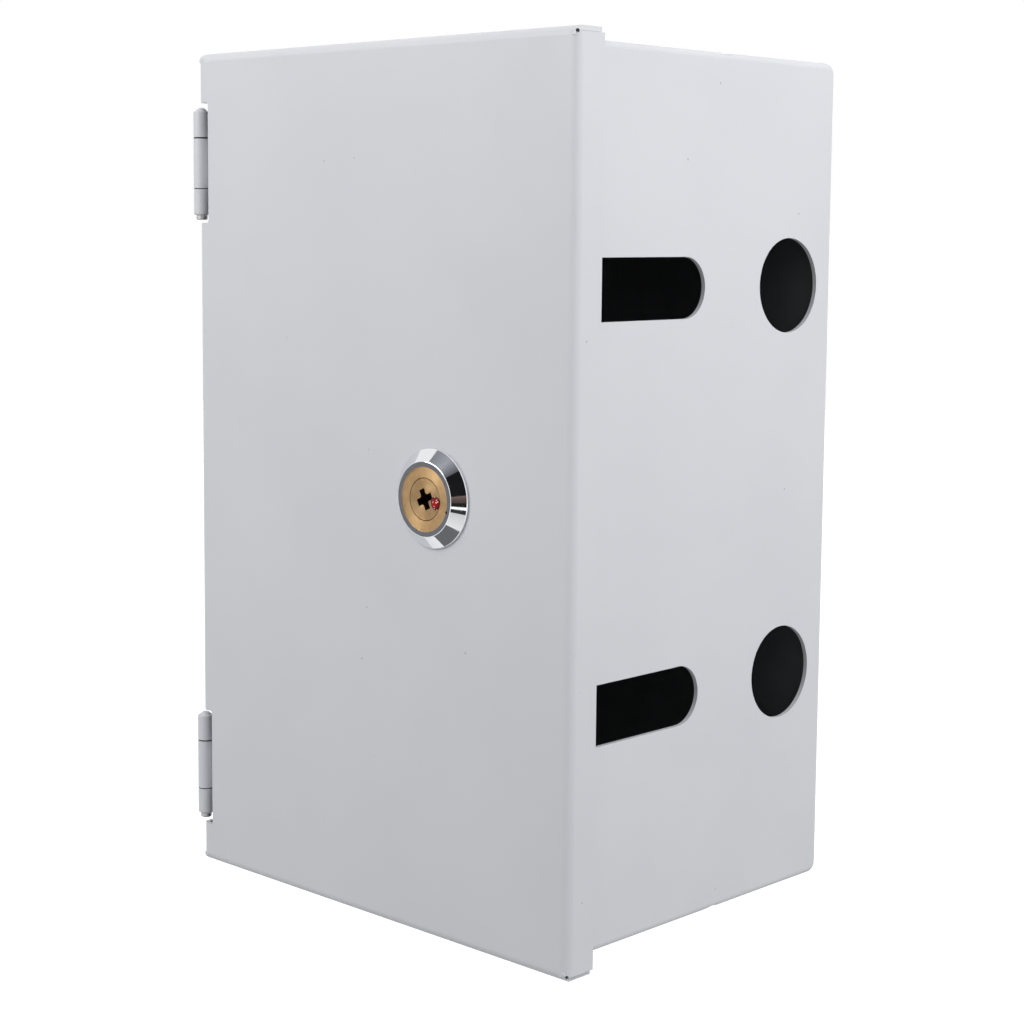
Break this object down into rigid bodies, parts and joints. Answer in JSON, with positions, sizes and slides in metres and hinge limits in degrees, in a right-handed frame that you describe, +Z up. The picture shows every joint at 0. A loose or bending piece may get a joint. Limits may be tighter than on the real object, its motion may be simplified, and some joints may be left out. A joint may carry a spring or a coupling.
{
  "type": "lockable wall box",
  "caption": "Tall lockable sheet-steel wall box with a hinged pan door, a cross-key cam lock, and slots and round holes in its right side for what passes into it.",
  "frame": {"origin": "middle of the back face, at the centre of the wall screw pattern", "axes": "+X to the right seen from the front, +Y back into the wall, +Z up; the door faces -Y"},
  "size_m": [0.1496, 0.1117, 0.2354],
  "materials": {
    "painted_sheet": "satin light grey-white powder coat",
    "painted_hinge": "satin light grey-white powder coat over rolled steel",
    "lock_chrome": "polished chrome plate with a matt front rim",
    "lock_brass": "turned and faced brass",
    "zinc_plated_steel": "bright zinc plate",
    "spring_steel": "drawn wire",
    "dark_steel": "oil-blackened washers between the hinge knuckles",
    "red_enamel": "glossy drop of enamel"
  },
  "bodies": {
    "case": {"body_wrap": "painted_sheet", "right_side_panel": "painted_sheet", "left_side_panel": "painted_sheet", "lock_keeper": "painted_sheet", "upper_hinge_body_leaf": "painted_hinge", "lower_hinge_body_leaf": "painted_hinge", "upper_hinge_pin": "painted_hinge", "lower_hinge_pin": "painted_hinge", "upper_hinge_washers": "dark_steel", "lower_hinge_washers": "dark_steel"},
    "door": {"door_panel": "painted_sheet", "upper_hinge_door_leaf": "painted_hinge", "lower_hinge_door_leaf": "painted_hinge", "lock_housing": "lock_chrome", "lock_sleeve": "lock_brass", "lock_washer": "zinc_plated_steel", "lock_nut": "zinc_plated_steel", "driver_pins": "lock_brass", "tumbler_springs": "spring_steel"},
    "lock_cylinder": {"lock_core": "lock_brass", "key_pins": "lock_brass", "index_dot": "red_enamel", "stop_washer": "zinc_plated_steel", "lock_cam": "zinc_plated_steel", "cam_washer": "zinc_plated_steel", "cam_screw": "zinc_plated_steel"}
  },
  "joints": [
    {"name": "door_swing", "type": "hinge", "parent": "case", "child": "door", "pos_m": [-0.0738, -0.106, 0], "axis": [0, 0, -1], "range_deg": [0, 180]},
    {"name": "key_turn", "type": "hinge", "parent": "door", "child": "lock_cylinder", "pos_m": [0.025, -0.1083, -0.00125], "axis": [0, 1, 0], "range_deg": [0, 90]}
  ]
}
